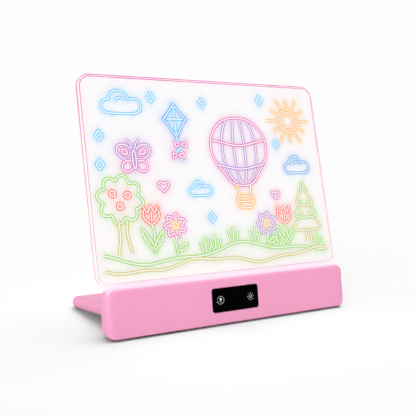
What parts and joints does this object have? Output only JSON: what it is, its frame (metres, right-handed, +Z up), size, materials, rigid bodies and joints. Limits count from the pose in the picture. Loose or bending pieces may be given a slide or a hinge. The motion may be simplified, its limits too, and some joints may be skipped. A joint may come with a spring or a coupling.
{
  "type": "led drawing pad",
  "caption": "Clear edge-lit drawing panel standing in a leaning plastic base bar with a touch window and a fold-out rear foot.",
  "frame": {"origin": "middle of the footprint's box, on the surface that the pads stand on", "axes": "+X along the bar to the user's right, +Y away from the user, +Z up"},
  "size_m": [0.3, 0.1604, 0.2596],
  "materials": {
    "pink_plastic": "satin moulded ABS",
    "clear_acrylic": "clear polished acrylic",
    "gloss_black": "gloss black acrylic",
    "white_plastic": "white reflector plastic",
    "grey_plastic": "moulded ABS",
    "acetal": "moulded acetal",
    "fibreglass": "lacquered circuit board",
    "plated_steel": "nickel plated steel",
    "lamp": "epoxy lamp package",
    "battery_wrap": "shrink wrapped cell",
    "lead_red": "insulated wire",
    "lead_black": "insulated wire",
    "rubber": "moulded silicone rubber"
  },
  "bodies": {
    "bar": {"front_shell": "pink_plastic", "rear_shell": "pink_plastic", "touch_lens": "gloss_black", "light_channel": "white_plastic", "battery_holder": "grey_plastic", "hinge_bush_left": "acetal", "hinge_bush_right": "acetal", "touch_board": "fibreglass", "control_board": "fibreglass", "led_strip": "fibreglass", "usb_c_socket": "plated_steel", "touch_spring_left": "plated_steel", "touch_spring_right": "plated_steel", "touch_board_screw_upper": "plated_steel", "touch_board_screw_lower": "plated_steel", "control_board_screw_left": "plated_steel", "control_board_screw_right": "plated_steel", "housing_screw_upper_left": "plated_steel", "housing_screw_upper_right": "plated_steel", "housing_screw_lower_left": "plated_steel", "housing_screw_lower_right": "plated_steel", "housing_screw_middle_left": "plated_steel", "housing_screw_middle_right": "plated_steel", "led_01": "lamp", "led_02": "lamp", "led_03": "lamp", "led_04": "lamp", "led_05": "lamp", "led_06": "lamp", "led_07": "lamp", "led_08": "lamp", "led_09": "lamp", "led_10": "lamp", "led_11": "lamp", "led_12": "lamp", "battery_cell": "battery_wrap", "battery_lead_red": "lead_red", "battery_lead_black": "lead_black", "base_pad_left": "rubber", "base_pad_right": "rubber"},
    "foot": {"foot_top_shell": "pink_plastic", "foot_bottom_shell": "pink_plastic", "foot_pad_left": "rubber", "foot_pad_right": "rubber", "hinge_pin_left": "plated_steel", "hinge_pin_right": "plated_steel", "foot_screw_rear_left": "plated_steel", "foot_screw_front_left": "plated_steel", "foot_screw_rear_right": "plated_steel", "foot_screw_front_right": "plated_steel"},
    "panel": {"drawing_panel": "clear_acrylic"}
  },
  "joints": [
    {"name": "foot_fold", "type": "hinge", "parent": "bar", "child": "foot", "pos_m": [0, -0.04223, 0.0204], "axis": [1, 0, 0], "range_deg": [0, 82]},
    {"name": "panel_lift", "type": "slide", "parent": "bar", "child": "panel", "axis": [0, 0.2368, 0.9715], "range_m": [0, 0.02]}
  ]
}
